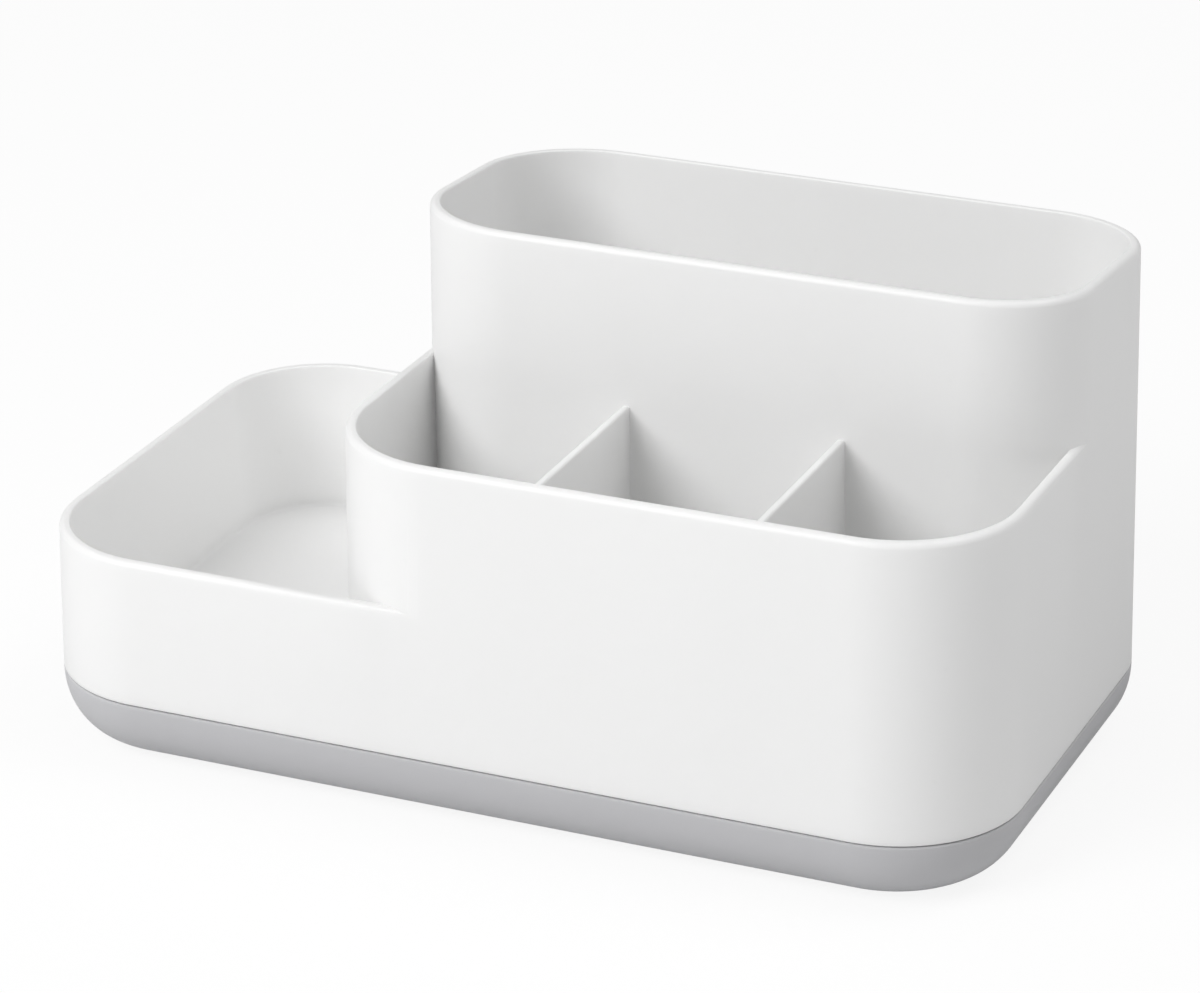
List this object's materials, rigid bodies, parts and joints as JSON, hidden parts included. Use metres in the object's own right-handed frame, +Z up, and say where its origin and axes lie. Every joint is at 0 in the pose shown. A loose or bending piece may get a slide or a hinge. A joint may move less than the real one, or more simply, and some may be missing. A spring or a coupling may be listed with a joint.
{
  "type": "desk organizer",
  "caption": "Stepped desk caddy: low tray at the left, divided middle cup in front, tall box behind, on a shallow round-edged base with rubber feet.",
  "frame": {"origin": "middle of the footprint, on the surface the organizer stands on", "axes": "+Z up, +X from the low tray towards the tall end, the front faces -Y"},
  "size_m": [0.265, 0.148, 0.1401],
  "materials": {
    "body_plastic": "satin white moulded plastic",
    "base_plastic": "satin light grey moulded plastic",
    "foot_rubber": "matt dark rubber",
    "screw_steel": "zinc-plated steel"
  },
  "bodies": {
    "root": {"body": "body_plastic", "base": "base_plastic", "foot_front_left": "foot_rubber", "foot_front_right": "foot_rubber", "foot_back_left": "foot_rubber", "foot_back_right": "foot_rubber", "screw_front_left": "screw_steel", "screw_front_right": "screw_steel", "screw_back_left": "screw_steel", "screw_back_right": "screw_steel"}
  },
  "joints": []
}
